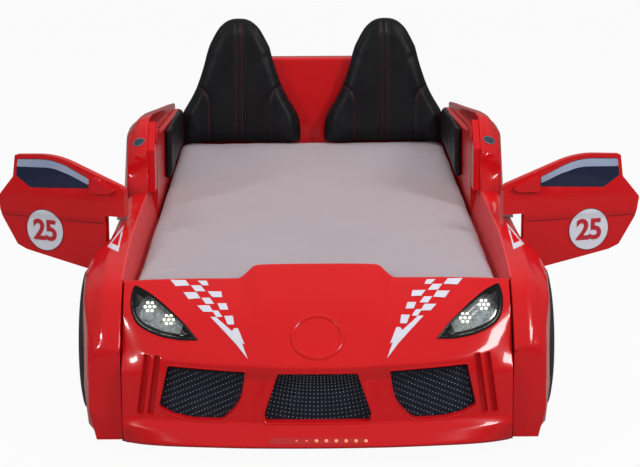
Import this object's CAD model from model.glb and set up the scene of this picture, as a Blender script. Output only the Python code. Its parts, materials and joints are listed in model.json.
"""Looks of a children's bed in the shape of a sports car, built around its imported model.

Metres.  +Y runs from the bumper to the head end, +X is on the right of someone who faces the bumper.
"""
import json
import math

import bmesh
import bpy
from mathutils import Matrix, Vector, noise
from mathutils.bvhtree import BVHTree


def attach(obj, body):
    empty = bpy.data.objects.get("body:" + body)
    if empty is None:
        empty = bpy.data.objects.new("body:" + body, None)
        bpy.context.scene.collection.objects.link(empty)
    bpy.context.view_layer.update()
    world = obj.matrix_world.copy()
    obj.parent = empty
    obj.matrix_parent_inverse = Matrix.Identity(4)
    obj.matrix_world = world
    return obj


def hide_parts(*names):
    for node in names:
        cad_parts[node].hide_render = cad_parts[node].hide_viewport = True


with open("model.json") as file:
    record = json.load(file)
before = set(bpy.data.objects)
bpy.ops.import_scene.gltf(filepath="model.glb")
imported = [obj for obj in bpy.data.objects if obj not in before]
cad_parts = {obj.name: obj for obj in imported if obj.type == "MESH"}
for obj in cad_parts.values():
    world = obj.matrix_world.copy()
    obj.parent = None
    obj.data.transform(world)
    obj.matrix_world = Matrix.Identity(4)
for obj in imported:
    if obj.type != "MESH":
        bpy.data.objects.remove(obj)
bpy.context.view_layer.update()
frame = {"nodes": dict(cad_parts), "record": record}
NODES = frame["nodes"]

# Half the width between the wings; the bonnet's rear edge; the bumper's tip; the tops of mattress and sill.
SEAM = 0.473
BONNET_REAR = -0.868
NOSE = -1.153
TOP = 0.400
SILL = 0.450
WHEEL_RADIUS = 0.190
WHEEL_INNER = 0.487
TYRE_WIDTH = 0.110
FRONT_WHEEL_Y = -0.670
REAR_WHEEL_Y = 0.620
HINGE = Vector((0.540, -0.425, 0.0))
DOOR_ANGLE = {1: math.radians(75), -1: math.radians(66)}
SIDES = ((1, "right"), (-1, "left"))

# Distances within which points are merged: in a new mesh, and in a copy of a node.
MERGE = 1e-5
NODE_MERGE = 2e-5
# Angles, in degrees, past which an edge is sharp: on most pieces, and on flat moulded panels.
EDGE_ANGLE = 35.0
PANEL_ANGLE = 28.0


# ---------------------------------------------------------------- finishes

def new_group(name, inputs, outputs):
    """An empty node group with named sockets; returns the tree, its input and its output node."""
    tree = bpy.data.node_groups.new(name, "ShaderNodeTree")
    for label, kind, value in inputs:
        socket = tree.interface.new_socket(label, in_out="INPUT", socket_type=kind)
        socket.default_value = value
    for label, kind in outputs:
        tree.interface.new_socket(label, in_out="OUTPUT", socket_type=kind)
    return tree, tree.nodes.new("NodeGroupInput"), tree.nodes.new("NodeGroupOutput")


def make_mottle():
    """Cloudy variation between two colours, with the mask it was made from."""
    tree, start, end = new_group(
        "mottle",
        [("Colour", "NodeSocketColor", (1, 1, 1, 1)), ("Other", "NodeSocketColor", (0, 0, 0, 1)),
         ("Scale", "NodeSocketFloat", 8.0), ("Stretch", "NodeSocketVector", (1, 1, 1))],
        [("Colour", "NodeSocketColor"), ("Mask", "NodeSocketFloat")])
    place = tree.nodes.new("ShaderNodeTexCoord")
    mapping = tree.nodes.new("ShaderNodeMapping")
    cloud = tree.nodes.new("ShaderNodeTexNoise")
    cloud.inputs["Detail"].default_value = 5.0
    mix = tree.nodes.new("ShaderNodeMix")
    mix.data_type = "RGBA"
    tree.links.new(place.outputs["Object"], mapping.inputs["Vector"])
    tree.links.new(start.outputs["Stretch"], mapping.inputs["Scale"])
    tree.links.new(mapping.outputs["Vector"], cloud.inputs["Vector"])
    tree.links.new(start.outputs["Scale"], cloud.inputs["Scale"])
    tree.links.new(cloud.outputs["Fac"], mix.inputs["Factor"])
    tree.links.new(start.outputs["Colour"], mix.inputs["A"])
    tree.links.new(start.outputs["Other"], mix.inputs["B"])
    tree.links.new(mix.outputs["Result"], end.inputs["Colour"])
    tree.links.new(cloud.outputs["Fac"], end.inputs["Mask"])
    return tree


def make_pebble():
    """Small rounded cells, as in leather grain and moulded texture."""
    tree, start, end = new_group("pebble", [("Scale", "NodeSocketFloat", 300.0)],
                                 [("Height", "NodeSocketFloat")])
    place = tree.nodes.new("ShaderNodeTexCoord")
    cells = tree.nodes.new("ShaderNodeTexVoronoi")
    cloud = tree.nodes.new("ShaderNodeTexNoise")
    cloud.inputs["Detail"].default_value = 3.0
    total = tree.nodes.new("ShaderNodeMath")
    total.operation = "ADD"
    for texture in (cells, cloud):
        tree.links.new(place.outputs["Object"], texture.inputs["Vector"])
        tree.links.new(start.outputs["Scale"], texture.inputs["Scale"])
    tree.links.new(cells.outputs["Distance"], total.inputs[0])
    tree.links.new(cloud.outputs["Fac"], total.inputs[1])
    tree.links.new(total.outputs["Value"], end.inputs["Height"])
    return tree


def make_weave():
    """Two crossed sets of threads."""
    tree, start, end = new_group("weave", [("Scale", "NodeSocketFloat", 400.0)],
                                 [("Height", "NodeSocketFloat")])
    place = tree.nodes.new("ShaderNodeTexCoord")
    waves = []
    for direction in ("X", "Y"):
        wave = tree.nodes.new("ShaderNodeTexWave")
        wave.bands_direction = direction
        wave.inputs["Distortion"].default_value = 1.2
        wave.inputs["Detail"].default_value = 1.0
        tree.links.new(place.outputs["Object"], wave.inputs["Vector"])
        tree.links.new(start.outputs["Scale"], wave.inputs["Scale"])
        waves.append(wave)
    total = tree.nodes.new("ShaderNodeMath")
    total.operation = "MULTIPLY"
    tree.links.new(waves[0].outputs["Fac"], total.inputs[0])
    tree.links.new(waves[1].outputs["Fac"], total.inputs[1])
    tree.links.new(total.outputs["Value"], end.inputs["Height"])
    return tree


MOTTLE = make_mottle()
PEBBLE = make_pebble()
WEAVE = make_weave()


class Finish:
    """A procedural material around one Principled shader."""

    def __init__(self, name, **sockets):
        self.material = bpy.data.materials.new(name)
        self.material.use_nodes = True
        self.nodes = self.material.node_tree.nodes
        self.links = self.material.node_tree.links
        self.shader = self.nodes["Principled BSDF"]
        for label, value in sockets.items():
            self.shader.inputs[label.replace("_", " ")].default_value = value
        self.normal = None

    def group(self, tree, **values):
        node = self.nodes.new("ShaderNodeGroup")
        node.node_tree = tree
        for label, value in values.items():
            node.inputs[label].default_value = value
        return node

    def colours(self, first, second, scale=8.0, stretch=(1, 1, 1)):
        """Base colour that drifts between two colours; returns the mask."""
        node = self.group(MOTTLE, Colour=(*first, 1), Other=(*second, 1), Scale=scale, Stretch=stretch)
        self.links.new(node.outputs["Colour"], self.shader.inputs["Base Color"])
        return node.outputs["Mask"]

    def vary(self, mask, socket, low, high):
        """Drive a socket from a mask, between two values."""
        node = self.nodes.new("ShaderNodeMapRange")
        node.inputs["From Min"].default_value = 0.3
        node.inputs["From Max"].default_value = 0.7
        node.inputs["To Min"].default_value = low
        node.inputs["To Max"].default_value = high
        self.links.new(mask, node.inputs["Value"])
        self.links.new(node.outputs["Result"], self.shader.inputs[socket])

    def bump(self, height, strength, distance):
        """Add a bump on top of the ones before it."""
        node = self.nodes.new("ShaderNodeBump")
        node.inputs["Strength"].default_value = strength
        node.inputs["Distance"].default_value = distance
        self.links.new(height, node.inputs["Height"])
        if self.normal is not None:
            self.links.new(self.normal, node.inputs["Normal"])
        self.normal = node.outputs["Normal"]
        self.links.new(self.normal, self.shader.inputs["Normal"])


def red_moulding():
    finish = Finish("red moulding", Coat_Weight=0.36, Coat_Roughness=0.03, Specular_IOR_Level=0.14)
    mask = finish.colours((0.60, 0.007, 0.010), (0.55, 0.006, 0.009), 5.0)
    finish.vary(mask, "Roughness", 0.16, 0.22)
    skin = finish.group(PEBBLE, Scale=38.0)
    finish.bump(skin.outputs["Height"], 0.04, 0.0005)
    return finish.material


def red_board():
    finish = Finish("red board", Coat_Weight=0.2, Coat_Roughness=0.12, Specular_IOR_Level=0.25)
    mask = finish.colours((0.62, 0.010, 0.013), (0.55, 0.008, 0.010), 9.0)
    finish.vary(mask, "Roughness", 0.24, 0.34)
    grain = finish.group(PEBBLE, Scale=260.0)
    finish.bump(grain.outputs["Height"], 0.06, 0.0003)
    return finish.material


def wood(name, stretch):
    finish = Finish(name, Specular_IOR_Level=0.35)
    mask = finish.colours((0.66, 0.50, 0.30), (0.46, 0.30, 0.15), 9.0, stretch)
    finish.vary(mask, "Roughness", 0.5, 0.68)
    finish.bump(mask, 0.25, 0.0006)
    return finish.material


def moulded_black(name, first, second, low, high, scale, depth):
    finish = Finish(name)
    mask = finish.colours(first, second, 12.0)
    finish.vary(mask, "Roughness", low, high)
    grain = finish.group(PEBBLE, Scale=scale)
    finish.bump(grain.outputs["Height"], 0.25, depth)
    return finish.material


def metal(name, first, second, low, high, scale):
    finish = Finish(name, Metallic=1.0)
    mask = finish.colours(first, second, scale)
    finish.vary(mask, "Roughness", low, high)
    grain = finish.group(PEBBLE, Scale=240.0)
    finish.bump(grain.outputs["Height"], 0.08, 0.0002)
    return finish.material


def mattress_cloth():
    finish = Finish("mattress cloth", Sheen_Weight=0.25, Sheen_Roughness=0.5, Specular_IOR_Level=0.2)
    mask = finish.colours((0.362, 0.304, 0.334), (0.322, 0.270, 0.300), 4.0)
    finish.vary(mask, "Roughness", 0.78, 0.9)
    weave = finish.group(WEAVE, Scale=330.0)
    finish.bump(mask, 0.3, 0.004)
    finish.bump(weave.outputs["Height"], 0.35, 0.0006)
    return finish.material


def leather():
    finish = Finish("seat leather", Specular_IOR_Level=0.2)
    mask = finish.colours((0.0045, 0.0048, 0.0060), (0.0085, 0.0088, 0.0105), 14.0)
    finish.vary(mask, "Roughness", 0.36, 0.52)
    grain = finish.group(PEBBLE, Scale=420.0)
    finish.bump(mask, 0.2, 0.002)
    finish.bump(grain.outputs["Height"], 0.35, 0.0005)
    return finish.material


def plain(name, colour, other, low, high, scale=20.0, **sockets):
    """A film, paint or print: nearly even colour under a thin gloss."""
    finish = Finish(name, **sockets)
    mask = finish.colours(colour, other, scale)
    finish.vary(mask, "Roughness", low, high)
    return finish.material


def lens_glass():
    finish = Finish("lamp lens", Transmission_Weight=1.0, IOR=1.38, Base_Color=(0.97, 0.98, 1.0, 1))
    mask = finish.group(MOTTLE, Scale=30.0).outputs["Mask"]
    finish.vary(mask, "Roughness", 0.01, 0.03)
    return finish.material


def glowing(name, colour, strength):
    finish = Finish(name, Emission_Strength=strength, Emission_Color=(*colour, 1))
    mask = finish.colours(colour, tuple(part * 0.9 for part in colour), 200.0)
    finish.vary(mask, "Roughness", 0.2, 0.3)
    return finish.material


FINISH = {
    "red_moulding": red_moulding(),
    "red_board": red_board(),
    "flange_red": plain("flange red", (0.66, 0.055, 0.062), (0.60, 0.048, 0.055), 0.5, 0.6, 20.0,
                        Specular_IOR_Level=0.2),
    "slat_wood": wood("slat wood", (0.6, 14.0, 14.0)),
    "rail_wood": wood("rail wood", (14.0, 0.6, 14.0)),
    "black_plastic": moulded_black("black plastic", (0.012, 0.012, 0.013), (0.02, 0.02, 0.021), 0.32, 0.5,
                                   300.0, 0.0003),
    "zinc_steel": metal("zinc steel", (0.55, 0.56, 0.58), (0.42, 0.43, 0.45), 0.28, 0.45, 60.0),
    "mattress_cover": mattress_cloth(),
    "seat_leather": leather(),
    "tyre_black": moulded_black("tyre rubber", (0.010, 0.010, 0.011), (0.018, 0.018, 0.018), 0.55, 0.75,
                                180.0, 0.0006),
    "rim_silver": metal("rim silver", (0.52, 0.53, 0.55), (0.44, 0.45, 0.47), 0.22, 0.34, 12.0),
    "lamp_lens": lens_glass(),
    "lamp_mirror": plain("lamp mirror", (0.40, 0.43, 0.42), (0.22, 0.25, 0.25), 0.18, 0.34, 40.0,
                         Metallic=0.45),
    "lamp_white": glowing("lamp white", (1.0, 0.98, 0.84), 1.1),
    "grille_black": plain("grille black", (0.006, 0.007, 0.014), (0.012, 0.014, 0.026), 0.2, 0.32, 14.0,
                          Specular_IOR_Level=0.18),
    "grille_dots": plain("grille dots", (0.42, 0.47, 0.52), (0.20, 0.24, 0.30), 0.3, 0.4, 25.0),
    "badge_silver": metal("badge silver", (0.45, 0.52, 0.60), (0.22, 0.30, 0.40), 0.2, 0.3, 160.0),
    "window_navy": plain("window navy", (0.010, 0.013, 0.038), (0.018, 0.022, 0.055), 0.10, 0.18, 6.0,
                         Coat_Weight=0.15, Specular_IOR_Level=0.25),
    "window_band": plain("window band", (0.20, 0.25, 0.40), (0.42, 0.48, 0.62), 0.18, 0.26, 9.0,
                         Coat_Weight=0.3),
    "roundel_white": plain("roundel white", (0.72, 0.72, 0.80), (0.64, 0.65, 0.74), 0.25, 0.35, 30.0,
                           Coat_Weight=0.2),
    "decal_white": plain("decal white", (0.66, 0.66, 0.74), (0.60, 0.60, 0.68), 0.22, 0.32, 24.0,
                         Coat_Weight=0.3),
    "lamp_black": plain("lamp black", (0.0035, 0.0035, 0.0040), (0.006, 0.006, 0.006), 0.3, 0.4, 30.0,
                        Specular_IOR_Level=0.15),
    "bead_silver": metal("bead silver", (0.72, 0.73, 0.72), (0.30, 0.31, 0.31), 0.2, 0.3, 90.0),
    "badge_dark": plain("badge dark", (0.012, 0.018, 0.030), (0.05, 0.07, 0.10), 0.2, 0.3, 220.0),
    "seam_red": plain("seam red", (0.10, 0.003, 0.004), (0.07, 0.002, 0.003), 0.4, 0.5, 40.0),
    "decal_red": plain("decal red", (0.50, 0.010, 0.022), (0.44, 0.008, 0.018), 0.25, 0.35, 24.0,
                       Coat_Weight=0.2),
    "stitch_red": plain("stitch red", (0.22, 0.011, 0.017), (0.15, 0.008, 0.012), 0.6, 0.75, 200.0),
    "lamp_bar_red": plain("lamp bar red", (0.50, 0.008, 0.010), (0.42, 0.006, 0.008), 0.12, 0.2, 30.0,
                          Coat_Weight=0.5),
    "lamp_red": glowing("lamp red", (1.0, 0.16, 0.08), 1.9),
    "lamp_dim": glowing("lamp dim", (0.80, 0.10, 0.06), 0.9),
}
CARRIED = {"left_slat_rail": "rail_wood", "right_slat_rail": "rail_wood", "centre_beam": "rail_wood"}


def dress_nodes():
    """Give every carried-over node its finish."""
    for part in frame["record"]["subparts"]:
        node = NODES[part["node"]]
        wanted = FINISH[CARRIED.get(part["node"], part["material_slot"])]
        for slot in node.material_slots:
            slot.material = wanted


# ---------------------------------------------------------------- mesh helpers

def in_scene(name, data):
    """A new object in the scene."""
    item = bpy.data.objects.new(name, data)
    bpy.context.scene.collection.objects.link(item)
    return item


def make_object(name, mesh, finish, body, smooth_angle=EDGE_ANGLE, weighted=False):
    """Put a finished mesh into the scene, on its body and in its material slot."""
    mesh.name = name
    item = in_scene(name, mesh)
    mesh.materials.clear()
    mesh.materials.append(FINISH[finish])
    mesh.shade_smooth()
    if smooth_angle is not None:
        mesh.set_sharp_from_angle(angle=math.radians(smooth_angle))
    if weighted:
        item.modifiers.new("flat faces first", "WEIGHTED_NORMAL").keep_sharp = True
    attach(item, body)
    return item


def opened(*meshes):
    """A bmesh that holds the given meshes."""
    bm = bmesh.new()
    for mesh in meshes:
        bm.from_mesh(mesh)
    return bm


def written(bm):
    """The mesh of a bmesh, which is freed."""
    mesh = bpy.data.meshes.new("piece")
    bm.to_mesh(mesh)
    bm.free()
    return mesh


def from_bmesh(bm, recalculate=True):
    """The mesh of a bmesh with its doubles merged and, unless told otherwise, its faces turned outwards."""
    bmesh.ops.remove_doubles(bm, verts=bm.verts, dist=MERGE)
    if recalculate:
        bmesh.ops.recalc_face_normals(bm, faces=bm.faces)
    return written(bm)


def facing(bm, outwards):
    """Make the faces of an open sheet agree, and look the given way on the whole."""
    bmesh.ops.recalc_face_normals(bm, faces=bm.faces)
    if sum(face.normal.dot(Vector(outwards)) * face.calc_area() for face in bm.faces) < 0:
        bmesh.ops.reverse_faces(bm, faces=bm.faces)


def settled(item):
    """The mesh of an object with its modifiers applied; the object is removed."""
    graph = bpy.context.evaluated_depsgraph_get()
    mesh = bpy.data.meshes.new_from_object(item.evaluated_get(graph))
    bpy.data.objects.remove(item)
    return mesh


def shaped_by(mesh, *modifiers):
    """Apply a row of (kind, settings) modifiers to a mesh."""
    item = in_scene("work", mesh)
    for kind, settings in modifiers:
        modifier = item.modifiers.new(kind.lower(), kind)
        for label, value in settings.items():
            setattr(modifier, label, value)
    return settled(item)


def subdivided(mesh, levels):
    return shaped_by(mesh, ("SUBSURF", {"levels": levels, "render_levels": levels}))


def walled(mesh, thickness, offset=-1.0):
    return shaped_by(mesh, ("SOLIDIFY", {"thickness": thickness, "offset": offset, "use_even_offset": True}))


def cut_by(mesh, cutters):
    """Cut a mesh with other meshes."""
    tool = in_scene("cutter", from_bmesh(opened(*cutters), False))
    result = shaped_by(mesh, ("BOOLEAN", {"operation": "DIFFERENCE", "object": tool, "solver": "EXACT"}))
    bpy.data.objects.remove(tool)
    return result


def cage(rows, outwards):
    """A sheet with one vertex for each point of each row, from a grid, that looks the given way."""
    bm = bmesh.new()
    bmesh.ops.create_grid(bm, x_segments=len(rows) - 1, y_segments=len(rows[0]) - 1, size=1.0)
    for vert in bm.verts:
        row = round((vert.co.x + 1) / 2 * (len(rows) - 1))
        column = round((vert.co.y + 1) / 2 * (len(rows[0]) - 1))
        vert.co = Vector(rows[row][column])
    facing(bm, outwards)
    return written(bm)


def flip_mesh(mesh):
    """A mirror image across the middle of the bed."""
    bm = opened(mesh)
    bmesh.ops.scale(bm, vec=(-1, 1, 1), verts=bm.verts)
    bmesh.ops.reverse_faces(bm, faces=bm.faces)
    return written(bm)


def sided(mesh, side, drawn=1):
    """A mesh for one side of the bed, from one that is drawn for the right, or for the left with drawn at -1."""
    return mesh.copy() if side == drawn else flip_mesh(mesh)


def node_copy(name):
    """A merged copy of a node's mesh, for smooth shading or for casting rays."""
    bm = opened(NODES[name].data)
    bmesh.ops.remove_doubles(bm, verts=bm.verts, dist=NODE_MERGE)
    return written(bm)


def tree_of(*meshes):
    """What rays are cast at, from one mesh or more."""
    bm = opened(*meshes)
    tree = BVHTree.FromBMesh(bm)
    bm.free()
    return tree


def merged(meshes):
    """Several meshes as one."""
    return written(opened(*meshes))


def closed_loop(bm, places):
    """New vertices joined in a ring, and the ring's edges."""
    verts = [bm.verts.new(place) for place in places]
    return verts, [bm.edges.new((verts[index - 1], verts[index])) for index in range(len(verts))]


def extruded(bm, places, shift):
    """A closed form: a face through the given places, pushed along a vector."""
    base = bm.faces.new([bm.verts.new(place) for place in places])
    made = bmesh.ops.extrude_face_region(bm, geom=[base])["geom"]
    moved = [part for part in made if isinstance(part, bmesh.types.BMVert)]
    bmesh.ops.translate(bm, vec=shift, verts=moved)


def box_form(low, high, radius, segments=4):
    """A box between two corners, with rounded edges."""
    bm = bmesh.new()
    bmesh.ops.create_cube(bm, size=1.0)
    bmesh.ops.scale(bm, vec=Vector(high) - Vector(low), verts=bm.verts)
    bmesh.ops.translate(bm, vec=(Vector(high) + Vector(low)) / 2, verts=bm.verts)
    bmesh.ops.bevel(bm, geom=list(bm.edges), offset=radius, segments=segments, profile=0.5, affect="EDGES",
                    material=-1)
    return from_bmesh(bm)


def plate_form(outline, thickness_from, thickness_to, axis, radius):
    """A plate from a drawn outline, with its thickness along Y for axis 1 and along X for axis 0."""
    bm = bmesh.new()
    places = [(point.x, thickness_from, point.y) if axis == 1 else (thickness_from, point.x, point.y)
              for point in outline]
    shift = Vector((0, 0, 0))
    shift[axis] = thickness_to - thickness_from
    extruded(bm, places, shift)
    bmesh.ops.recalc_face_normals(bm, faces=bm.faces)
    rims = [edge for edge in bm.edges if len(edge.link_faces) == 2
            and edge.link_faces[0].normal.angle(edge.link_faces[1].normal) > 1.2
            and abs(edge.verts[0].co[axis] - edge.verts[1].co[axis]) < 1e-6]
    bmesh.ops.bevel(bm, geom=rims, offset=radius, segments=3, profile=0.5, affect="EDGES", material=-1)
    return from_bmesh(bm)


# Steps along each corner's arc, and the least distance between two points of an outline.
ARC_STEPS = 7
LEAST_STEP = 2e-4


def rounded(corners, radii, run=0.012):
    """A closed outline with arcs at its corners and points along its straight runs."""
    points = []
    count = len(corners)
    for index, (corner, radius) in enumerate(zip(corners, radii)):
        here = Vector(corner)
        before = Vector(corners[index - 1]) - here
        after = Vector(corners[(index + 1) % count]) - here
        half = before.angle(after) / 2
        reach = min(radius / math.tan(half), 0.48 * min(before.length, after.length))
        start = here + before.normalized() * reach
        end = here + after.normalized() * reach
        for step in range(ARC_STEPS + 1):
            share = step / ARC_STEPS
            points.append(start * (1 - share) ** 2 + here * 2 * share * (1 - share) + end * share ** 2)
    dense = []
    for index, point in enumerate(points):
        following = points[(index + 1) % len(points)]
        pieces = max(1, int((following - point).length / run))
        for step in range(pieces):
            dense.append(point.lerp(following, step / pieces))
    return [point for index, point in enumerate(dense) if (point - dense[index - 1]).length > LEAST_STEP]


def grown(outline, distance):
    """Move a closed outline outwards."""
    area = sum(a.x * b.y - b.x * a.y for a, b in zip(outline, outline[1:] + outline[:1]))
    turn = 1 if area > 0 else -1
    moved = []
    count = len(outline)
    for index, point in enumerate(outline):
        along = (outline[(index + 1) % count] - outline[index - 1]).normalized()
        moved.append(point + Vector((along.y, -along.x)) * distance * turn)
    return moved


def flipped_outline(outline):
    return [Vector((-point.x, point.y)) for point in outline]


def both_sides(half):
    """Corners that are the same on both sides, from those on the right."""
    return half + [(-x, z) for x, z in reversed(half)]


def circle(centre, radius, count):
    turns = [2 * math.pi * step / count for step in range(count)]
    return [Vector((centre[0] + radius * math.cos(turn), centre[1] + radius * math.sin(turn)))
            for turn in turns]


def ellipse(wide, high, tilt, count=40):
    points = []
    for step in range(count):
        turn = 2 * math.pi * step / count
        a = wide * math.cos(turn)
        b = high * math.sin(turn)
        points.append(Vector((a * math.cos(tilt) - b * math.sin(tilt),
                              a * math.sin(tilt) + b * math.cos(tilt))))
    return points


# How far from a drawing plane a surface may lie, on either side.
PLANE_REACH = 0.3


class Plane:
    """Drawing plane for what is laid on a surface: a and b on the plane, and a height above the surface."""

    def __init__(self, origin, across, up, tree):
        self.origin = Vector(origin)
        self.across = Vector(across).normalized()
        self.up = Vector(up).normalized()
        self.out = self.across.cross(self.up)
        self.tree = tree

    def at(self, a, b, height):
        flat = self.origin + self.across * a + self.up * b
        hit = self.tree.ray_cast(flat + self.out * PLANE_REACH, -self.out, 2 * PLANE_REACH)[0]
        if hit is None:
            near = self.tree.find_nearest(flat)[0]
            hit = flat + self.out * (near - flat).dot(self.out)
        return hit + self.out * height


def front_plane(tree, y=NOSE):
    """A drawing plane that faces the front: a is X and b is Z."""
    return Plane((0, y, 0), (1, 0, 0), (0, 0, 1), tree)


def ringed(plane, rings, cap_last=False):
    """Extrude an outline through a row of rings, each a list of points on the plane with a height."""
    bm = bmesh.new()
    outline, height = rings[0]
    verts, edges = closed_loop(bm, [plane.at(point.x, point.y, height) for point in outline])
    for outline, height in rings[1:]:
        number = {vert: index for index, vert in enumerate(verts)}
        made = bmesh.ops.extrude_edge_only(bm, edges=edges)["geom"]
        edges = [part for part in made if isinstance(part, bmesh.types.BMEdge)
                 and not any(end in number for end in part.verts)]
        fresh = [None] * len(verts)
        for vert in (part for part in made if isinstance(part, bmesh.types.BMVert)):
            for edge in vert.link_edges:
                other = edge.other_vert(vert)
                if other in number:
                    fresh[number[other]] = vert
        verts = fresh
        for vert, point in zip(verts, outline):
            vert.co = plane.at(point.x, point.y, height)
    if cap_last:
        bmesh.ops.edgeloop_fill(bm, edges=edges)
    bmesh.ops.remove_doubles(bm, verts=bm.verts, dist=MERGE)
    facing(bm, plane.out)
    return from_bmesh(bm, False)


def stepped(plane, outline, steps, cap_last=False):
    """Rings along an outline, from steps of (distance outwards, height above the surface)."""
    return ringed(plane, [(grown(outline, out), height) for out, height in steps], cap_last)


# How often a film is divided, and the longest edge that it keeps.
FILM_ROUNDS = 3
FILM_EDGE = 0.008


def film(plane, corners, height):
    """A flat shape laid on a surface, fine enough to follow it."""
    bm = bmesh.new()
    edges = closed_loop(bm, [(a, b, 0) for a, b in corners])[1]
    bmesh.ops.triangle_fill(bm, use_beauty=True, edges=edges)
    for _ in range(FILM_ROUNDS):
        long_edges = [edge for edge in bm.edges if edge.calc_length() > FILM_EDGE]
        if long_edges:
            bmesh.ops.subdivide_edges(bm, edges=long_edges, cuts=1)
            bmesh.ops.triangulate(bm, faces=bm.faces)
    for vert in bm.verts:
        vert.co = plane.at(vert.co.x, vert.co.y, height)
    facing(bm, plane.out)
    return written(bm)


# ---------------------------------------------------------------- front moulding

# Half of the bonnet's stations: x at the rear edge, at the lip and at the bumper, and the bulge.
BONNET_STATIONS = (
    (0.000, 0.000, 0.000, 1.0), (0.080, 0.057, 0.068, 1.0), (0.140, 0.099, 0.120, 0.97),
    (0.154, 0.110, 0.132, 0.90), (0.160, 0.114, 0.138, 0.78), (0.172, 0.121, 0.148, 0.42),
    (0.186, 0.129, 0.159, 0.07), (0.193, 0.134, 0.166, 0.0), (0.210, 0.150, 0.184, 0.0),
    (0.262, 0.230, 0.250, 0.0), (0.318, 0.300, 0.310, 0.0), (0.366, 0.362, 0.364, 0.0),
    (0.406, 0.406, 0.406, 0.0), (0.438, 0.438, 0.438, 0.0), (0.458, 0.458, 0.458, 0.0),
    (0.470, 0.470, 0.470, 0.0), (0.473, 0.473, 0.473, 0.0))
# Places in a section's row of points: the rear edge, the lip, and the foot of the face under it.
REAR_POINT, LIP_POINT, FOOT_POINT = 2, 8, 15
MOULDING_WALL = 0.004
# The cutters for the openings start this far before the nose, and are this long.
CUT_START = 0.03
CUT_LENGTH = 0.36
# Sections of raised edges, as steps of (distance outwards, height above the surface).
OPENING_EDGE = ((0.0040, -0.0010), (0.0026, 0.0012), (0.0008, 0.0016), (-0.0008, 0.0004), (-0.0014, -0.003),
                (-0.0020, -0.026), (0.0020, -0.026))
VENT_EDGE = ((0.0030, -0.0008), (0.0018, 0.0010), (0.0004, 0.0008), (-0.0008, -0.002), (-0.0022, -0.012))
LAMP_EDGE = ((0.0030, -0.0008), (0.0018, 0.0009), (0.0006, 0.0008), (0.0001, -0.002))
RIM_EDGE = ((0.0001, -0.0015), (-0.0010, 0.0002), (-0.0036, -0.0010), (-0.0052, -0.006), (-0.0078, -0.020))
BEAD_EDGE = ((-0.0042, -0.0032), (-0.0047, -0.0024), (-0.0053, -0.0034), (-0.0053, -0.0060))
# The plain raised ring on the bonnet: its middle down the slope, its radius, and its section.
RING_MIDDLE = (0.0, -0.194)
RING_RADIUS = 0.060
RING_EDGE = ((-0.0065, -0.0006), (-0.0048, 0.0018), (-0.0022, 0.0034), (0.0, 0.0038), (0.0022, 0.0034),
             (0.0048, 0.0018), (0.0065, -0.0006))


def bonnet_section(across, lift):
    """Bonnet, lip, face and bumper at a share of the half width, as (y, z) points from the rear edge down."""
    bow = across ** 2
    corner = across ** 8
    sweep = across ** 4
    soft = max(0.0, (across - 0.72) / 0.28)
    rear = Vector((BONNET_REAR - 0.002 + 0.028 * lift - 0.022 * corner, TOP + 0.004 + 0.029 * lift))
    lip = Vector((NOSE + 0.058 + 0.064 * bow + 0.044 * corner - 0.005 * lift,
                  TOP - 0.163 + 0.010 * bow + 0.024 * corner))
    middle = (rear + lip) / 2 + Vector((-0.010, 0.010))
    tuck = Vector((NOSE + 0.066 + 0.054 * bow - 0.006 * lift, TOP - 0.197 + 0.010 * bow))
    foot = Vector((NOSE + 0.054 + 0.060 * bow - 0.004 * lift, TOP - 0.302))
    ledge = Vector((NOSE + 0.030 + 0.064 * bow + 0.014 * corner, TOP - 0.322))
    chin = Vector((NOSE + 0.010 + 0.062 * bow + 0.052 * corner, TOP - 0.345 - 0.016 * sweep))
    under = Vector((NOSE + 0.017 + 0.062 * bow + 0.056 * corner, TOP - 0.352 - 0.018 * sweep))
    slope = (middle - rear).normalized()
    chain = [rear + Vector((0.006, -0.016)), rear + Vector((0.002, -0.003))]
    chain += [rear + slope * 0.005, rear + slope * 0.03]
    chain += [rear.lerp(middle, 0.55), middle, middle.lerp(lip, 0.5)]
    chain += [lip.lerp(middle, 0.10 + 0.25 * soft), lip.lerp(middle, 0.025 + 0.12 * soft)]
    chain += [lip.lerp(tuck, 0.12 + 0.35 * soft), tuck.lerp(lip, 0.3), tuck, tuck.lerp(foot, 0.12)]
    chain += [tuck.lerp(foot, 0.5), foot.lerp(tuck, 0.1), foot, ledge.lerp(foot, 0.3), ledge]
    chain += [chin.lerp(ledge, 0.45), chin, chin.lerp(under, 0.5), under, under + Vector((0.012, -0.001))]
    chain += [under + Vector((0.030, 0.0))]
    return chain


def end_row(row):
    """The row after the last one at a side, turned inwards so that the moulding has a closed end."""
    return [(x * 1.001, y, z - 0.030) if index <= LIP_POINT else (x * 1.001, y + 0.030, z)
            for index, (x, y, z) in enumerate(row)]


def bonnet_cage():
    """The sheet of bonnet, lip and bumper, before it is subdivided."""
    rows = []
    stations = [(-a, -b, -c, d) for a, b, c, d in reversed(BONNET_STATIONS[1:])] + list(BONNET_STATIONS)
    for x_rear, x_lip, x_foot, lift in stations:
        chain = bonnet_section(x_lip / SEAM, lift)
        rear, lip, foot = (chain[place].y for place in (REAR_POINT, LIP_POINT, FOOT_POINT))
        row = []
        for index, point in enumerate(chain):
            if index <= LIP_POINT:
                share = max(0.0, min(1.0, (rear - point.y) / (rear - lip)))
                x = x_rear + (x_lip - x_rear) * share
            else:
                share = min(1.0, (lip - point.y) / (lip - foot))
                x = x_lip + (x_foot - x_lip) * share
            row.append((x, point.x, point.y))
        rows.append(row)
    return cage([end_row(rows[0])] + rows + [end_row(rows[-1])], (0, -1, 1))


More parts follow.
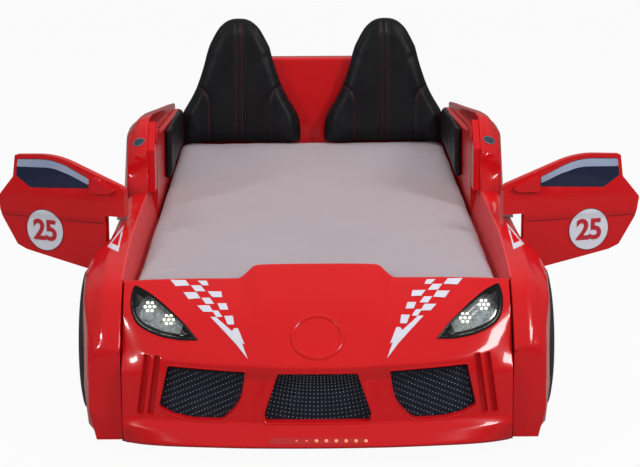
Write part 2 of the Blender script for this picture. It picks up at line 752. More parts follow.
def front_outlines():
    """The grilles' openings, the vents and the headlights in the front view."""
    side = rounded([(0.171, 0.224), (0.360, 0.232), (0.383, 0.129), (0.349, 0.112), (0.305, 0.103),
                    (0.228, 0.102), (0.184, 0.146)], [0.006, 0.006, 0.014, 0.016, 0.06, 0.034, 0.09])
    centre = rounded(both_sides([(0.095, 0.222), (0.117, 0.158), (0.129, 0.122), (0.125, 0.102)]),
                     [0.006, 0.06, 0.02, 0.005, 0.005, 0.02, 0.06, 0.006])
    vents = []
    for shift in (0.0, 0.025):
        vent = rounded([(0.416 - shift, 0.254), (0.401 - shift, 0.252), (0.421 - shift, 0.109),
                        (0.436 - shift, 0.111)], [0.004, 0.004, 0.005, 0.005])
        vents += [vent, flipped_outline(vent)]
    lamp = lamp_outline()
    return [side, flipped_outline(side), centre], vents, [lamp, flipped_outline(lamp)]


def build_front():
    """Bonnet, lip, grille frames, vents and bumper as one moulding; returns its surface for casting rays."""
    surface = subdivided(bonnet_cage(), 3)
    tree = tree_of(surface)
    front = front_plane(tree)
    bonnet = Plane((0, -0.87, 0.40), (1, 0, 0), (0, 0.788, 0.615), tree)
    openings, vents, lamps = front_outlines()
    cutters = []
    for outline in openings + vents + lamps:
        bm = bmesh.new()
        extruded(bm, [(point.x, NOSE - CUT_START, point.y) for point in outline], (0, CUT_LENGTH, 0))
        cutters.append(from_bmesh(bm))
    pieces = [cut_by(walled(surface, MOULDING_WALL), cutters)]
    pieces += [stepped(front, outline, OPENING_EDGE) for outline in openings]
    pieces += [stepped(front, outline, VENT_EDGE, True) for outline in vents]
    pieces += [stepped(front, outline, LAMP_EDGE) for outline in lamps]
    pieces.append(ringed(bonnet, [(circle(RING_MIDDLE, RING_RADIUS + out, 72), height)
                                  for out, height in RING_EDGE]))
    whole = make_object("bonnet_and_bumper", merged(pieces), "red_moulding", "bed")
    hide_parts("front_shell")
    build_checks(bonnet)
    build_lamp_rings(front)
    return tree


def lamp_outline():
    """The almond outline of a headlight in the front view."""
    corners = [(0.285, 0.286), (0.322, 0.321), (0.372, 0.355), (0.411, 0.378), (0.4470, 0.3925),
               (0.4545, 0.372), (0.4540, 0.344), (0.440, 0.315), (0.411, 0.300), (0.375, 0.290), (0.330, 0.285)]
    return rounded(corners, [0.003, 0.2, 0.2, 0.2, 0.006, 0.05, 0.1, 0.05, 0.2, 0.2, 0.2], 0.006)


# One side's checks on the bonnet: corners as (x, distance down the slope), in centimetres.
CHECKS = (
    ((36, 0.3), (32.3, 0.4), (31.2, 2.0), (34.6, 2.2)), ((29.3, 0.6), (27.1, 0.6), (26.5, 2.0), (28.0, 2.0)),
    ((30.9, 2.0), (28.5, 2.0), (27.2, 3.8), (29.7, 3.7)), ((32.6, 4.0), (29.5, 4.0), (28.4, 5.8), (31.3, 6.0)),
    ((26.7, 3.8), (23.4, 3.9), (23.1, 5.6), (25.5, 5.5)), ((28.2, 5.7), (26.2, 5.7), (25.0, 7.5), (27.0, 7.5)),
    ((29.1, 7.9), (26.2, 7.9), (25.1, 9.8), (27.6, 9.7)), ((24.2, 7.4), (22.1, 7.4), (21.5, 9.3), (23.5, 9.2)),
    ((25.5, 9.4), (24.0, 9.5), (22.9, 11.2), (24.3, 11.3)),
    ((22.5, 11.0), (20.4, 11.0), (20.0, 13.3), (21.6, 13.3)),
    ((25.8, 11.2), (24.5, 11.2), (23.0, 12.7), (20.5, 15.0), (20.0, 14.3), (19.1, 14.3), (17.4, 18.4),
     (18.1, 18.0), (16.6, 22.0), (19.5, 18.2)))
# Where the drawn checks start, and how far they are drawn out, down the slope.
CHECK_START = 0.004
CHECK_STRETCH = 1.12


def build_checks(bonnet):
    """White checks down each side of the bonnet."""
    films = []
    for corners in CHECKS:
        for side in (1, -1):
            films.append(film(bonnet, [(side * x / 100, -CHECK_START - CHECK_STRETCH * s / 100)
                                        for x, s in corners], 0.0006))
    mesh = walled(merged(films), 0.0005, 1.0)
    make_object("bonnet_checks", mesh, "decal_white", "bed")


# Black corners behind each headlight's lens, in the front view: at the outer tip and at the inner one.
LAMP_CORNERS = (((0.4525, 0.346), (0.4530, 0.372), (0.4460, 0.3905), (0.4130, 0.3775), (0.4340, 0.350)),
                ((0.2875, 0.2872), (0.3215, 0.3190), (0.3290, 0.3040), (0.3330, 0.2868)))
# Middles of the left headlight's two clusters in the photograph, in pixels.
CLUSTER_MIDDLES = ((149.9, 306.9), (168.9, 319.7))
# The bumper's row of lamps in the photograph, in pixels: first, last and height.
LAMP_ROW = (296.7, 366.0, 441.0)


def build_lamp_rings(front):
    """A narrow black rim round each headlight, with black corners behind the lens."""
    for side, name in SIDES:
        outline = lamp_outline()
        if side < 0:
            outline = flipped_outline(outline)
        pieces = [stepped(front, outline, RIM_EDGE)]
        for corners in LAMP_CORNERS:
            pieces.append(walled(film(front, [(side * x, z) for x, z in corners], -0.0030), 0.0006))
        rim = make_object(name + "_headlight_rim", merged(pieces), "lamp_black", "bed")
        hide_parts(name + "_headlight_bezel")
        bead = stepped(front, outline, BEAD_EDGE)
        make_object(name + "_headlight_bead", bead, "bead_silver", "bed")


def seen_point(view, pixel, tree):
    """Where a pixel of the photograph falls on a surface, or the nearest point to its line of sight."""
    way = view.ray(*pixel)
    hit = tree.ray_cast(view.place, way)[0]
    if hit is None:
        hit = tree.find_nearest(view.place + way * ((NOSE - view.place.y) / way.y))[0]
    return hit


def lamp_beads(places, radius, depth):
    """Small flattened beads, one for each lamp."""
    bm = bmesh.new()
    for place in places:
        made = bmesh.ops.create_icosphere(bm, subdivisions=2, radius=radius)["verts"]
        bmesh.ops.scale(bm, vec=(1, depth, 1), verts=made)
        bmesh.ops.translate(bm, vec=place, verts=made)
    return from_bmesh(bm, False)


def build_clusters(view):
    """Two rosettes of seven lamps on each headlight's reflector."""
    tree = tree_of(node_copy("left_headlight_reflector"))
    rosette = [Vector((0, 0))] + circle((0, 0), 0.0112, 6)
    places = []
    for pixel in CLUSTER_MIDDLES:
        plane = Plane(seen_point(view, pixel, tree), view.right, view.up, tree)
        places += [plane.at(point.x, point.y, 0.0010) for point in rosette]
    mesh = lamp_beads(places, 0.0040, 0.8)
    for side, name in SIDES:
        own = sided(mesh, side, -1)
        beads = make_object(name + "_headlight_beads", own, "lamp_white", "bed", None)
        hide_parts(name + "_headlight_cluster")


def build_bumper_lamps(view, tree):
    """A low red bar in the bumper with eight lamps, of which the first two are dim."""
    first, last, down = LAMP_ROW
    hits = [seen_point(view, (first + (last - first) * index / 7, down), tree) for index in range(8)]
    height = sum(hit.z for hit in hits) / len(hits)
    outline = rounded([(0.116, height + 0.006), (0.116, height - 0.006), (-0.116, height - 0.006),
                       (-0.116, height + 0.006)], [0.004] * 4, 0.008)
    bar = walled(film(front_plane(tree), outline, 0.0008), 0.0010)
    bar = make_object("bumper_light_bar", bar, "lamp_bar_red", "bed")
    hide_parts("bumper_lamp_bar")
    make_object("bumper_dim_lights", lamp_beads(hits[:2], 0.0030, 0.8), "lamp_dim", "bed", None)
    lit = make_object("bumper_lights", lamp_beads(hits[2:], 0.0042, 0.8), "lamp_red", "bed", None)
    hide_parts("bumper_lamps")


def fanned_dots(low, high):
    """Dots on arcs about a point above the centre grille, with wider gaps towards the bottom."""
    hub = Vector((0.0, 0.62))
    radius = hub.y - high.y + 0.003
    step = 0.0050
    points = []
    while radius < hub.y - low.y + 0.03:
        for column in range(-15, 16):
            turn = column * 0.0195
            points.append(hub + Vector((math.sin(turn), -math.cos(turn))) * radius)
        radius += step
        step = min(0.0100, step * 1.10)
    return points


def slanted_dots(low, high, inwards):
    """Dots in slanting rows, with every other row shifted by half a gap."""
    tilt = math.radians(24)
    along = Vector((inwards * math.cos(tilt), math.sin(tilt)))
    across = Vector((-inwards * math.sin(tilt), math.cos(tilt)))
    middle = (low + high) / 2
    points = []
    for row in range(-12, 13):
        for column in range(-20, 21):
            shift = (column + 0.5 * (row % 2)) * 0.0078
            points.append(middle + across * (row * 0.0125) + along * shift)
    return points


DOT_RADIUS = 0.0014
# A dot needs this much even panel round it.
DOT_MARGIN = 0.003


def build_dots():
    """Rows of pale dots on the three grille panels."""
    around = [(0, 0), (DOT_MARGIN, 0), (-DOT_MARGIN, 0), (0, DOT_MARGIN), (0, -DOT_MARGIN)]
    for name in ("centre_grille", "left_grille", "right_grille"):
        node = node_copy(name)
        tree = tree_of(node)
        xs = [vert.co.x for vert in node.vertices]
        zs = [vert.co.z for vert in node.vertices]
        low, high = Vector((min(xs), min(zs))), Vector((max(xs), max(zs)))
        if name == "centre_grille":
            points = fanned_dots(low, high)
        else:
            points = slanted_dots(low, high, -1 if name == "right_grille" else 1)
        dots = bmesh.new()
        for point in points:
            if not (low.x < point.x < high.x and low.y < point.y < high.y):
                continue
            start = Vector((point.x, NOSE - 0.1, point.y))
            rays = [tree.ray_cast(start + Vector((dx, 0, dz)), Vector((0, 1, 0)), 0.4)[0] for dx, dz in around]
            if any(ray is None or abs(ray.y - rays[0].y) > 0.002 for ray in rays):
                continue
            made = bmesh.ops.create_icosphere(dots, subdivisions=1, radius=DOT_RADIUS)["verts"]
            bmesh.ops.scale(dots, vec=(1, 0.5, 1), verts=made)
            bmesh.ops.translate(dots, vec=rays[0], verts=made)
        make_object(name + "_dots", written(dots), "grille_dots", "bed", None)


# ---------------------------------------------------------------- soft goods

class Soft:
    """A padded piece on its way through remesh, cloth and finish."""

    def __init__(self, name, mesh, voxel, cap, pressure=4.0):
        self.cap = cap
        self.mesh = shaped_by(mesh, ("REMESH", {"mode": "VOXEL", "voxel_size": voxel}))
        self.item = in_scene(name + "_cloth", self.mesh.copy())
        cloth = self.item.modifiers.new("cloth", "CLOTH")
        cloth.settings.use_pressure = True
        cloth.settings.uniform_pressure_force = pressure
        cloth.settings.effector_weights.gravity = 0.0
        cloth.settings.quality = 4
        cloth.settings.tension_stiffness = 15
        cloth.settings.compression_stiffness = 15
        cloth.settings.bending_stiffness = 0.5
        cloth.collision_settings.use_collision = False

    def take(self):
        """The swollen mesh, with no point further than the cap from where it started."""
        graph = bpy.context.evaluated_depsgraph_get()
        moved = self.item.evaluated_get(graph).data
        result = self.mesh.copy()
        for vert, start, end in zip(result.vertices, self.mesh.vertices, moved.vertices):
            shift = end.co - start.co
            if shift.length > self.cap:
                shift = shift.normalized() * self.cap
            vert.co = start.co + shift
        bpy.data.objects.remove(self.item)
        return result


def groove(mesh, paths, width, depth):
    """Press sewn channels into a mesh along paths of points."""
    bm = opened(mesh)
    bm.normal_update()
    moves = {}
    for path in paths:
        for start, end in zip(path, path[1:]):
            middle = (start + end) / 2
            reach = (end - start).length / 2 + width * 3
            run = end - start
            if run.length < 1e-5:
                continue
            for vert in bm.verts:
                if (vert.co - middle).length_squared > reach * reach:
                    continue
                share = max(0.0, min(1.0, (vert.co - start).dot(run) / run.length_squared))
                away = (vert.co - (start + run * share)).length
                fall = depth * math.exp(-(away / width) ** 2)
                if fall > moves.get(vert, 0.0):
                    moves[vert] = fall
    for vert, fall in moves.items():
        vert.co -= vert.normal * fall
    return written(bm)


def crumple(mesh, scale, height, strength):
    """Shallow folds, pushed along the normals, as strong at each place as a function says."""
    bm = opened(mesh)
    bm.normal_update()
    for vert in bm.verts:
        wave = noise.fractal(vert.co * scale, 1.0, 2.0, 3, noise_basis="PERLIN_ORIGINAL")
        vert.co += vert.normal * wave * height * strength(vert.co, vert.normal)
    return written(bm)


def smoothed(mesh, rounds):
    """Take small dents out of a mesh."""
    bm = opened(mesh)
    for _ in range(rounds):
        bmesh.ops.smooth_vert(bm, verts=bm.verts, factor=0.5, use_axis_x=True, use_axis_y=True, use_axis_z=True)
    return written(bm)


def fitted(mesh, low, high):
    """Scale a mesh to a box."""
    for axis in range(3):
        values = [vert.co[axis] for vert in mesh.vertices]
        first, last = min(values), max(values)
        for vert in mesh.vertices:
            share = (vert.co[axis] - first) / (last - first)
            vert.co[axis] = low[axis] + (high[axis] - low[axis]) * share
    return mesh


def limited(mesh, low, high):
    """Keep a mesh inside a box."""
    for vert in mesh.vertices:
        vert.co = [max(a, min(b, c)) for a, b, c in zip(low, high, vert.co)]
    return mesh


# The seats: where the drawn outline starts, the foot, the outline's height, half the width and the top.
SEAT_LOW = 0.408
SEAT_FOOT = 0.4045
SEAT_HEIGHT = 0.410
SEAT_HALF = 0.206
SEAT_TOP = 0.8190
# Each seat's distance from the middle, and the places of its face and its back.
SEAT_SHIFT = 0.2458
SEAT_FACE = 0.9536
SEAT_REAR = 1.0456
# Height over which the foot is made squarer.
FOOT_RUN = 0.026
STITCH_PITCH = 0.0085
STITCH_LENGTH = 0.0055
THREAD_RADIUS = 0.0008
CLOTH_FRAMES = 20


def seat_outline():
    half = [(0.188, 0.0), (0.2025, 0.004), (0.204, 0.030), (0.204, 0.072), (0.195, 0.104), (0.184, 0.124),
            (0.169, 0.152), (0.156, 0.180), (0.143, 0.212), (0.131, 0.246), (0.118, 0.285), (0.107, 0.318),
            (0.087, 0.350), (0.068, 0.380), (0.047, 0.398), (0.024, 0.408), (0.0, 0.410)]
    points = [(x, SEAT_LOW + z) for x, z in half]
    points += [(-x, z) for x, z in reversed(points[:-1])]
    return [Vector(point) for point in points]


def build_soft():
    """Mattress, seats and pads, which swell together in one run of the cloth simulation."""
    mattress = Soft("mattress", box_form((-0.444, -0.860, 0.226), (0.444, 1.024, 0.394), 0.022), 0.011, 0.007)
    seat_start = grown(seat_outline(), -0.006)
    seat = Soft("seat", plate_form(seat_start, SEAT_FACE + 0.012, SEAT_REAR - 0.006, 1, 0.018), 0.0055, 0.012)
    pad_outline = rounded([(0.300, 0.411), (0.938, 0.411), (0.938, 0.529), (0.640, 0.553), (0.304, 0.569)],
                          [0.010, 0.010, 0.018, 0.2, 0.016], 0.02)
    pad = Soft("pad", plate_form(grown(pad_outline, -0.002), 0.4355, 0.4518, 0, 0.006), 0.0055, 0.005, 3.0)
    for step in range(1, CLOTH_FRAMES + 1):
        bpy.context.scene.frame_set(step)
    finish_mattress(mattress.take())
    finish_seats(seat.take())
    finish_pads(pad.take())


def finish_mattress(mesh):
    """Fit the mattress to its place and lay folds on its top, stronger near its edges."""
    def on_top(place, normal):
        near_edge = 1.0 if abs(place.x) > 0.36 or place.y > 0.86 else 0.45
        return max(0.0, normal.z) * near_edge
    mesh = fitted(mesh, (-0.4485, -0.8670, 0.2215), (0.4485, 1.0305, 0.4020))
    mesh = crumple(mesh, 5.0, 0.0032, on_top)
    mesh = crumple(mesh, 17.0, 0.0012, on_top)
    mesh = limited(mesh, (-0.4495, -0.8675, 0.2205), (0.4495, 1.0315, 0.4038))
    mesh = subdivided(mesh, 1)
    item = make_object("mattress_cushion", mesh, "mattress_cover", "bed", None)
    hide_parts("mattress")


def finish_seats(mesh):
    """Lean the wings forward, press in the sewn lines, then set the stitches."""
    mesh = fitted(smoothed(mesh, 7), (-SEAT_HALF, SEAT_FACE, SEAT_FOOT), (SEAT_HALF, SEAT_REAR, SEAT_TOP))
    for vert in mesh.vertices:
        share = (vert.co.z - SEAT_FOOT) / FOOT_RUN
        if share < 1:
            vert.co.z = SEAT_FOOT + FOOT_RUN * share ** 2
    for vert in mesh.vertices:
        share = max(0.0, min(1.0, (SEAT_REAR - vert.co.y) / (SEAT_REAR - SEAT_FACE)))
        height = (vert.co.z - SEAT_LOW) / SEAT_HEIGHT
        width = abs(vert.co.x)
        lean = 0.030 * max(0.0, height - 0.12) ** 1.2
        bolster = 0.014 * math.exp(-((width - 0.165) / 0.030) ** 2) * max(0.0, 1 - height / 0.42)
        hollow = 0.010 * math.exp(-(width / 0.10) ** 2)
        vert.co.y += share * (lean + hollow - bolster)
    front = front_plane(tree_of(mesh), SEAT_FACE)
    centre = [laid_path(front, [(x, SEAT_LOW + 0.004), (x * 0.9, SEAT_LOW + 0.40)], 40) for x in (-0.010, 0.010)]
    bolsters = []
    for side in (1, -1):
        sweep = [(0.098, 0.002)]
        sweep += [(0.098 + 0.044 * (1 - math.cos(turn)), 0.128 + 0.058 * math.sin(turn))
                  for turn in [math.pi / 2 * step / 6 for step in range(7)]]
        bolsters.append(laid_path(front, [(side * x, SEAT_LOW + z) for x, z in sweep], 12))
    rim = [laid_path(front, grown(seat_outline(), -0.015)[3:-3], 5)]
    mesh = groove(mesh, centre + bolsters, 0.0045, 0.0045)
    mesh = groove(mesh, rim, 0.0040, 0.0018)
    mesh = subdivided(mesh, 1)
    mesh = limited(mesh, (-0.2080, SEAT_FACE - 0.006, SEAT_FOOT), (0.2080, SEAT_REAR, 0.822))
    surface = tree_of(mesh)
    threads = merged([stitches(path, surface, 0.0) for path in centre]
                     + [stitches(path, surface, 0.006) for path in bolsters])
    for side, name in SIDES:
        shift = Matrix.Translation((side * SEAT_SHIFT, 0, 0))
        cushion = mesh.copy()
        cushion.transform(shift)
        item = make_object(name + "_seat_cushion", cushion, "seat_leather", "bed", None)
        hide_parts(name + "_seat_back")
        sewn = threads.copy()
        sewn.transform(shift)
        make_object(name + "_seat_stitches", sewn, "stitch_red", "bed", None)


def laid_path(plane, points, count):
    """Points along a drawn line, so many to each of its runs, laid on a surface."""
    laid = []
    for first, second in zip(points, points[1:]):
        for step in range(count):
            share = step / count
            laid.append((first[0] + (second[0] - first[0]) * share,
                         first[1] + (second[1] - first[1]) * share))
    return [plane.at(a, b, 0.0) for a, b in laid + [points[-1]]]


def stitches(path, tree, sideways):
    """Short threads laid along a path on a surface, shifted away from the middle."""
    bm = bmesh.new()
    walked = 0.0
    for start, end in zip(path, path[1:]):
        walked += (end - start).length
        if walked < STITCH_PITCH:
            continue
        walked = 0.0
        place = start + Vector((sideways if start.x > 0 else -sideways, 0, 0))
        hit = tree.ray_cast(place + Vector((0, -0.05, 0)), Vector((0, 1, 0)), 0.12)[0]
        if hit is None:
            continue
        made = bmesh.ops.create_cone(bm, cap_ends=True, segments=6, radius1=THREAD_RADIUS,
                                     radius2=THREAD_RADIUS, depth=STITCH_LENGTH)["verts"]
        turn = Vector((0, 0, 1)).rotation_difference((end - start).normalized()).to_matrix()
        bmesh.ops.rotate(bm, cent=(0, 0, 0), matrix=turn, verts=made)
        bmesh.ops.translate(bm, vec=hit + Vector((0, -0.0003, 0)), verts=made)
    return written(bm)


def finish_pads(mesh):
    """Press three upright channels into the pad, and set one on each side."""
    inner = Plane((0.42, 0, 0), (0, -1, 0), (0, 0, 1), tree_of(mesh))
    channels = []
    for y in (0.460, 0.620, 0.780):
        channels.append([inner.at(-y, z, 0.0) for z in [0.414 + 0.006 * step for step in range(25)]])
    mesh = groove(mesh, channels, 0.004, 0.003)
    mesh = subdivided(mesh, 1)
    mesh = limited(mesh, (0.4285, 0.298, 0.407), (0.4526, 0.9445, 0.575))
    for side, name in SIDES:
        item = make_object(name + "_pad_cushion", sided(mesh, side), "seat_leather", "bed", None)
        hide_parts(name + "_side_pad")


# ---------------------------------------------------------------- side shells and head end

# The middle of the left quarter's badge in the photograph, in pixels.
BADGE_MIDDLE = (138.8, 142.0)
BADGE_EDGE = ((0.0, 0.0002), (-0.0006, 0.0020), (-0.0024, 0.0022), (-0.0032, 0.0010))


def build_badges(view):
    """A plain dark oval with a pale rim on the front face of each rear quarter."""
    tree = tree_of(node_copy("left_side_shell"))
    middle = tree.ray_cast(view.place, view.ray(*BADGE_MIDDLE))[0]
    plane = Plane(middle, view.right, view.up, tree)
    tilt = math.radians(20)
    outline = ellipse(0.0185, 0.0115, tilt)
    rim = stepped(plane, outline, BADGE_EDGE)
    inside = ringed(plane, [(grown(outline, -0.0030), 0.0010), (grown(outline, -0.0050), 0.0015),
                            (ellipse(0.0085, 0.0042, tilt), 0.0017), (ellipse(0.0020, 0.0010, tilt), 0.0017)],
                    cap_last=True)
    for side, name in SIDES:
        badge = make_object(name + "_badge_rim", sided(rim, side, -1), "badge_silver", "bed")
        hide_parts(name + "_badge")
        make_object(name + "_badge_middle", sided(inside, side, -1), "badge_dark", "bed")


# Corners of the left shoulder's pointed mark in the photograph, in pixels, from its tip round.
SHOULDER_MARK = ((124.0, 225.0), (107.4, 246.6), (118.4, 251.8), (122.6, 233.0))


def build_shoulder_marks(view):
    """A white outline with a red middle on each wing's shoulder."""
    tree = tree_of(node_copy("left_side_shell"))
    hits = [tree.ray_cast(view.place, view.ray(*pixel))[0] for pixel in SHOULDER_MARK]
    middle = sum(hits, Vector()) / len(hits)
    plane = Plane(middle, view.right, view.up, tree)
    outer = [Vector(((hit - middle).dot(view.right), (hit - middle).dot(view.up))) for hit in hits]
    inner = [point * 0.55 for point in outer]
    films = []
    for index in range(len(outer)):
        corners = [outer[index - 1], outer[index], inner[index], inner[index - 1]]
        films.append(film(plane, corners, 0.0008))
    mesh = merged(films)
    make_object("left_shoulder_mark", mesh, "decal_white", "bed")
    make_object("right_shoulder_mark", flip_mesh(mesh), "decal_white", "bed")


# Stations of the lip beside the mattress: y, and how far its top lies below the sill's.
FLANGE_STATIONS = ((-0.886, 0.046), (-0.780, 0.023), (-0.660, 0.008), (-0.550, 0.0), (-0.001, 0.0))


def flange_mesh():
    """The lip beside the mattress, on the right."""
    rows = []
    for y, drop in FLANGE_STATIONS:
        high = SILL - drop
        rows.append([(0.4545, y, 0.3000), (0.4559, y, 0.3590), (0.4662, y, (0.3590 + high) / 2),
                     (0.4764, y, high - 0.0008), (0.4800, y, high - 0.0004), (0.4830, y, high - 0.0030)])
    return walled(cage(rows, (-1, 0, 0.3)), 0.0010, 0.0)


def build_side_skins():
    """The side shells with the quarter's open end closed, their lips, and strips behind the bumper's seams."""
    lip = flange_mesh()
    end = [Vector(corner) for corner in ((-0.0735, 0.4520), (0.0005, 0.4520), (0.0005, 0.6440), (-0.0735, 0.5730))]
    post = plate_form(end, 0.4540, 0.4735, 0, 0.002)
    strip = box_form((0.4726, -1.010, 0.0275), (0.4764, -0.930, 0.175), 0.0005, 1)
    for side, name in SIDES:
        make_object(name + "_seam_strip", sided(strip, side), "seam_red", "bed")
        make_object(name + "_flange", sided(lip, side), "flange_red", "bed")
        mesh = merged([node_copy(name + "_side_shell"), sided(post, side)])
        skin = make_object(name + "_side_skin", mesh, "red_moulding", "bed", PANEL_ANGLE, True)
        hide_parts(name + "_side_shell")


# Right halves of the outlines of the head cover and the head board, from the bottom up, as (x, z).
COVER_HALF = [(0.4526, 0.222), (0.4526, 0.400), (0.440, 0.430), (0.336, 0.680)]
COVER_RADII = [0.004, 0.006, 0.02, 0.05, 0.05, 0.02, 0.006, 0.004]
BOARD_HALF = [(0.4528, 0.031), (0.4528, 0.2135), (0.4325, 0.2135), (0.4325, 0.428), (0.329, 0.672)]
BOARD_RADII = [0.002] * 10


def build_head_end():
    """The cover and the board at the head end, whose shoulders stay behind the seats."""
    cover = plate_form(rounded(both_sides(COVER_HALF), COVER_RADII), 1.0462, 1.1118, 1, 0.009)
    cover = make_object("head_cover_skin", cover, "red_moulding", "bed")
    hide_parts("head_cover")
    board = plate_form(rounded(both_sides(BOARD_HALF), BOARD_RADII), 1.0522, 1.0698, 1, 0.001)
    board = make_object("head_board_panel", board, "red_board", "bed")
    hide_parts("head_board")


# ---------------------------------------------------------------- doors

# On a door, as (distance behind the pin, height): the number's middle, and the window band's corners.
ROUNDEL_MIDDLE = (0.200, 0.411)
BAND_CORNERS = [(0.0590, 0.5460), (0.0575, 0.5620), (0.162, 0.6075), (0.2795, 0.6003), (0.2822, 0.5800),
                (0.170, 0.5850), (0.112, 0.5680)]
BAND_RADII = [0.003, 0.006, 0.20, 0.005, 0.004, 0.15, 0.20]
# The ring round the number, from its inner to its outer radius.
RING_RADII = (0.0566, 0.0584)
NUMBER_SIZE = 0.078
# Both stretches of the crease across the door, and its lower and upper edge.
CREASE_RUNS = ((0.020, 0.141), (0.259, 0.334))
CREASE_LOW, CREASE_HIGH = 0.4425, 0.4440


def door_matrix(side):
    """From door coordinates (outwards, behind the pin, up) to the bed, with the door as the photograph has it."""
    place = Matrix.Translation((side * HINGE.x, HINGE.y, 0))
    turn = Matrix.Rotation(-side * DOOR_ANGLE[side], 4, "Z")
    return place @ turn @ Matrix.Diagonal((side, 1, 1, 1))


def door_plane(side, node):
    """The outer face of a door: a runs along the text, b runs up."""
    matrix = door_matrix(side)
    across = (matrix.to_3x3() @ Vector((0, 1, 0))) * side
    return Plane(matrix @ Vector((0.03, 0, 0)), across, (0, 0, 1), tree_of(node_copy(node)))


def number_mesh(roundel, side):
    """A plain race number, laid on the roundel."""
    text = bpy.data.curves.new("number", "FONT")
    text.body = "25"
    text.size = NUMBER_SIZE
    text.offset = 0.0024
    text.space_character = 0.95
    text.align_x = "CENTER"
    text.align_y = "CENTER"
    flat = settled(in_scene("number", text))
    xs = [vert.co.x for vert in flat.vertices]
    ys = [vert.co.y for vert in flat.vertices]
    middle = Vector(((min(xs) + max(xs)) / 2, (min(ys) + max(ys)) / 2, 0))
    for vert in flat.vertices:
        place = vert.co - middle
        vert.co = roundel.at(side * ROUNDEL_MIDDLE[0] + place.x, ROUNDEL_MIDDLE[1] + place.y, 0.0005)
    return walled(flat, 0.0006, 1.0)


def build_doors():
    """The doors' skins, and what is laid on them: number, ring, window band and crease."""
    for side, name in SIDES:
        body = name + "_door"
        for node in ("door_skin", "mirror_base"):
            skin = make_object(name + "_" + node + "_skin", node_copy(name + "_" + node), "red_moulding", body,
                               PANEL_ANGLE, True)
            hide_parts(name + "_" + node)
        roundel = door_plane(side, name + "_door_roundel")
        number = number_mesh(roundel, side)
        make_object(name + "_race_number", number, "decal_red", body, 30.0)
        hub = (side * ROUNDEL_MIDDLE[0], ROUNDEL_MIDDLE[1])
        ring = ringed(roundel, [(circle(hub, radius, 60), 0.0004) for radius in RING_RADII])
        make_object(name + "_door_ring", walled(ring, 0.0003, 1.0), "seam_red", body)
        glass = door_plane(side, name + "_door_window")
        band = film(glass, [(side * point.x, point.y) for point in rounded(BAND_CORNERS, BAND_RADII)], 0.0004)
        make_object(name + "_window_band", walled(band, 0.0004, 1.0), "window_band", body)
        panel = door_plane(side, name + "_door_skin")
        creases = []
        for start, stop in CREASE_RUNS:
            corners = ((start, CREASE_LOW), (stop, CREASE_LOW), (stop, CREASE_HIGH), (start, CREASE_HIGH))
            creases.append(film(panel, [(side * y, z) for y, z in corners], 0.0003))
        crease = walled(merged(creases), 0.0003, 1.0)
        make_object(name + "_door_crease", crease, "seam_red", body)


# ---------------------------------------------------------------- wheels

# A tyre's section, from its inner side outwards, as (distance, radius).
TYRE_SECTION = ((0.000, 0.1265), (0.008, 0.1240), (0.102, 0.1240), (0.110, 0.1265), (0.1106, 0.145),
                (0.1104, 0.160), (0.107, 0.176), (0.100, 0.1845), (0.086, 0.1868), (0.070, 0.1872),
                (0.055, 0.1874), (0.040, 0.1872), (0.024, 0.1868), (0.010, 0.1845), (0.003, 0.176),
                (-0.0004, 0.160), (-0.0006, 0.145))
# Faces beyond this radius, and this far from the tyre's sides, are tread blocks.
TREAD_RADIUS = 0.1850
TREAD_MARGIN = 0.011


def tyre_mesh(centre):
    """A tyre with a closed section and a row of blocks."""
    bm = bmesh.new()
    verts, edges = closed_loop(bm, [(x, 0, r) for x, r in TYRE_SECTION])
    bmesh.ops.spin(bm, geom=verts + edges, cent=(0, 0, 0), axis=(1, 0, 0), dvec=(0, 0, 0), angle=2 * math.pi,
                   steps=72, use_merge=True)
    bmesh.ops.remove_doubles(bm, verts=bm.verts, dist=MERGE)
    bmesh.ops.recalc_face_normals(bm, faces=bm.faces)
    tread = []
    for face in bm.faces:
        middle = face.calc_center_median()
        radius = math.hypot(middle.y, middle.z)
        if radius > TREAD_RADIUS and TREAD_MARGIN < middle.x < TYRE_WIDTH - TREAD_MARGIN:
            tread.append(face)
    bmesh.ops.inset_individual(bm, faces=tread, thickness=0.0016, depth=0.0)
    bmesh.ops.inset_individual(bm, faces=tread, thickness=0.0004, depth=0.0024)
    bmesh.ops.translate(bm, vec=centre, verts=bm.verts)
    return written(bm)


def build_wheels():
    for end, y in (("front", FRONT_WHEEL_Y), ("rear", REAR_WHEEL_Y)):
        mesh = tyre_mesh((WHEEL_INNER, y, WHEEL_RADIUS))
        for side, name in SIDES:
            own = sided(mesh, side)
            tyre = make_object("%s_%s_tread" % (name, end), own, "tyre_black", "bed", 40.0)
            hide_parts("%s_%s_tyre" % (name, end))


# ---------------------------------------------------------------- studio

def shown_by_ray(tree, output, share, plain, seen):
    """Join two shaders at an output: rays that see the backdrop get the second one, others the first."""
    mix = tree.nodes.new("ShaderNodeMixShader")
    out = tree.nodes.new(output)
    tree.links.new(seen_ray(tree.nodes, tree.links, share), mix.inputs["Fac"])
    tree.links.new(plain, mix.inputs[1])
    tree.links.new(seen, mix.inputs[2])
    tree.links.new(mix.outputs["Shader"], out.inputs["Surface"])


def build_floor():
    bm = bmesh.new()
    bmesh.ops.create_grid(bm, x_segments=1, y_segments=1, size=14.0)
    mesh = written(bm)
    floor = in_scene("floor", mesh)
    material = bpy.data.materials.new("floor")
    material.use_nodes = True
    tree = material.node_tree
    tree.nodes.clear()
    matt = tree.nodes.new("ShaderNodeBsdfDiffuse")
    matt.inputs["Color"].default_value = (0.34, 0.34, 0.34, 1)
    glow = tree.nodes.new("ShaderNodeEmission")
    glow.inputs["Strength"].default_value = 1.0
    shown_by_ray(tree, "ShaderNodeOutputMaterial", 0.95, matt.outputs["BSDF"], glow.outputs["Emission"])
    mesh.materials.append(material)


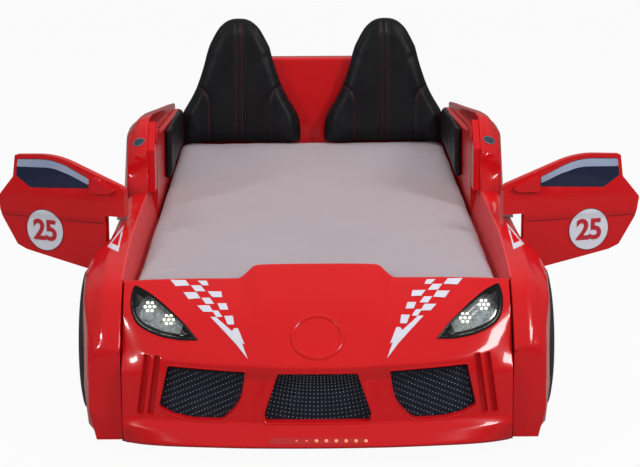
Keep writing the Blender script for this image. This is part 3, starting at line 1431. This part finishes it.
def build_world():
    """Soft light from all round, stronger from above, behind a white that only the camera and glass see."""
    world = bpy.data.worlds.new("studio")
    bpy.context.scene.world = world
    world.use_nodes = True
    tree = world.node_tree
    tree.nodes.clear()
    fill = tree.nodes.new("ShaderNodeBackground")
    fill.inputs["Color"].default_value = (1.0, 0.99, 0.98, 1)
    seen = tree.nodes.new("ShaderNodeBackground")
    place = tree.nodes.new("ShaderNodeTexCoord")
    split = tree.nodes.new("ShaderNodeSeparateXYZ")
    ramp = tree.nodes.new("ShaderNodeMapRange")
    ramp.interpolation_type = "SMOOTHSTEP"
    for label, value in (("From Min", -0.1), ("From Max", 0.9), ("To Min", 0.16), ("To Max", 0.50)):
        ramp.inputs[label].default_value = value
    tree.links.new(place.outputs["Generated"], split.inputs["Vector"])
    tree.links.new(split.outputs["Z"], ramp.inputs["Value"])
    tree.links.new(ramp.outputs["Result"], fill.inputs["Strength"])
    shown_by_ray(tree, "ShaderNodeOutputWorld", 1.0, fill.outputs["Background"], seen.outputs["Background"])


def build_lights():
    """Two lamps that are mirrored in the gloss, and two large ones that are not."""
    for name, place, aim, size, power, mirrored in (
            ("key", (2.6, -2.6, 2.8), (0.2, -0.3, 0.3), (0.7, 1.0), 72.0, True),
            ("fill", (-2.8, -2.9, 2.2), (0.0, -0.5, 0.3), (0.4, 0.6), 39.0, True),
            ("overhead", (0.0, 0.9, 3.4), (0.0, 0.2, 0.3), (2.2, 2.2), 52.0, False),
            ("front", (0.0, -5.8, 2.6), (0.0, -0.9, 0.2), (2.4, 1.2), 44.0, False)):
        light = bpy.data.lights.new(name, "AREA")
        light.shape = "RECTANGLE"
        light.size, light.size_y = size
        light.energy = power
        item = in_scene(name, light)
        item.visible_glossy = mirrored
        item.location = place
        item.rotation_euler = (Vector(aim) - Vector(place)).to_track_quat("-Z", "Y").to_euler()


def seen_ray(nodes, links, share):
    """A factor for rays that see the backdrop: straight from the camera, or through glass."""
    path = nodes.new("ShaderNodeLightPath")
    total = nodes.new("ShaderNodeMath")
    total.operation = "ADD"
    total.use_clamp = True
    scaled = nodes.new("ShaderNodeMath")
    scaled.operation = "MULTIPLY"
    scaled.inputs[1].default_value = share
    links.new(path.outputs["Is Camera Ray"], total.inputs[0])
    links.new(path.outputs["Is Transmission Ray"], total.inputs[1])
    links.new(total.outputs["Value"], scaled.inputs[0])
    return scaled.outputs["Value"]


class Viewpoint:
    """The camera that was fitted to the photograph."""
    place = Vector((-0.030, -5.515, 1.588))
    pitch = math.radians(13.04)
    yaw = math.radians(0.48)
    roll = math.radians(-0.25)
    focal = 1942.0
    width = 640.0
    height = 467.0

    def __init__(self):
        self.forward = Vector((math.sin(self.yaw) * math.cos(self.pitch),
                               math.cos(self.yaw) * math.cos(self.pitch), -math.sin(self.pitch)))
        level = Vector((math.cos(self.yaw), -math.sin(self.yaw), 0))
        above = level.cross(self.forward)
        self.right = level * math.cos(self.roll) + above * math.sin(self.roll)
        self.up = above * math.cos(self.roll) - level * math.sin(self.roll)

    def ray(self, across, down):
        """The way through a pixel of the photograph."""
        way = self.forward + self.right * ((across - self.width / 2) / self.focal)
        way -= self.up * ((down - self.height / 2) / self.focal)
        return way.normalized()


def build_camera(view):
    camera = bpy.data.cameras.new("camera")
    camera.sensor_width = 36.0
    camera.sensor_fit = "HORIZONTAL"
    camera.lens = view.focal / view.width * camera.sensor_width
    item = in_scene("camera", camera)
    turn = Matrix((view.right, view.up, -view.forward)).transposed()
    item.matrix_world = Matrix.Translation(view.place) @ turn.to_4x4()
    bpy.context.scene.camera = item


bpy.context.scene.view_settings.view_transform = "Standard"
VIEW = Viewpoint()
dress_nodes()
build_camera(VIEW)
build_floor()
build_world()
build_lights()
BONNET = build_front()
build_bumper_lamps(VIEW, BONNET)
build_clusters(VIEW)
build_dots()
build_side_skins()
build_head_end()
build_badges(VIEW)
build_shoulder_marks(VIEW)
build_doors()
build_wheels()
build_soft()
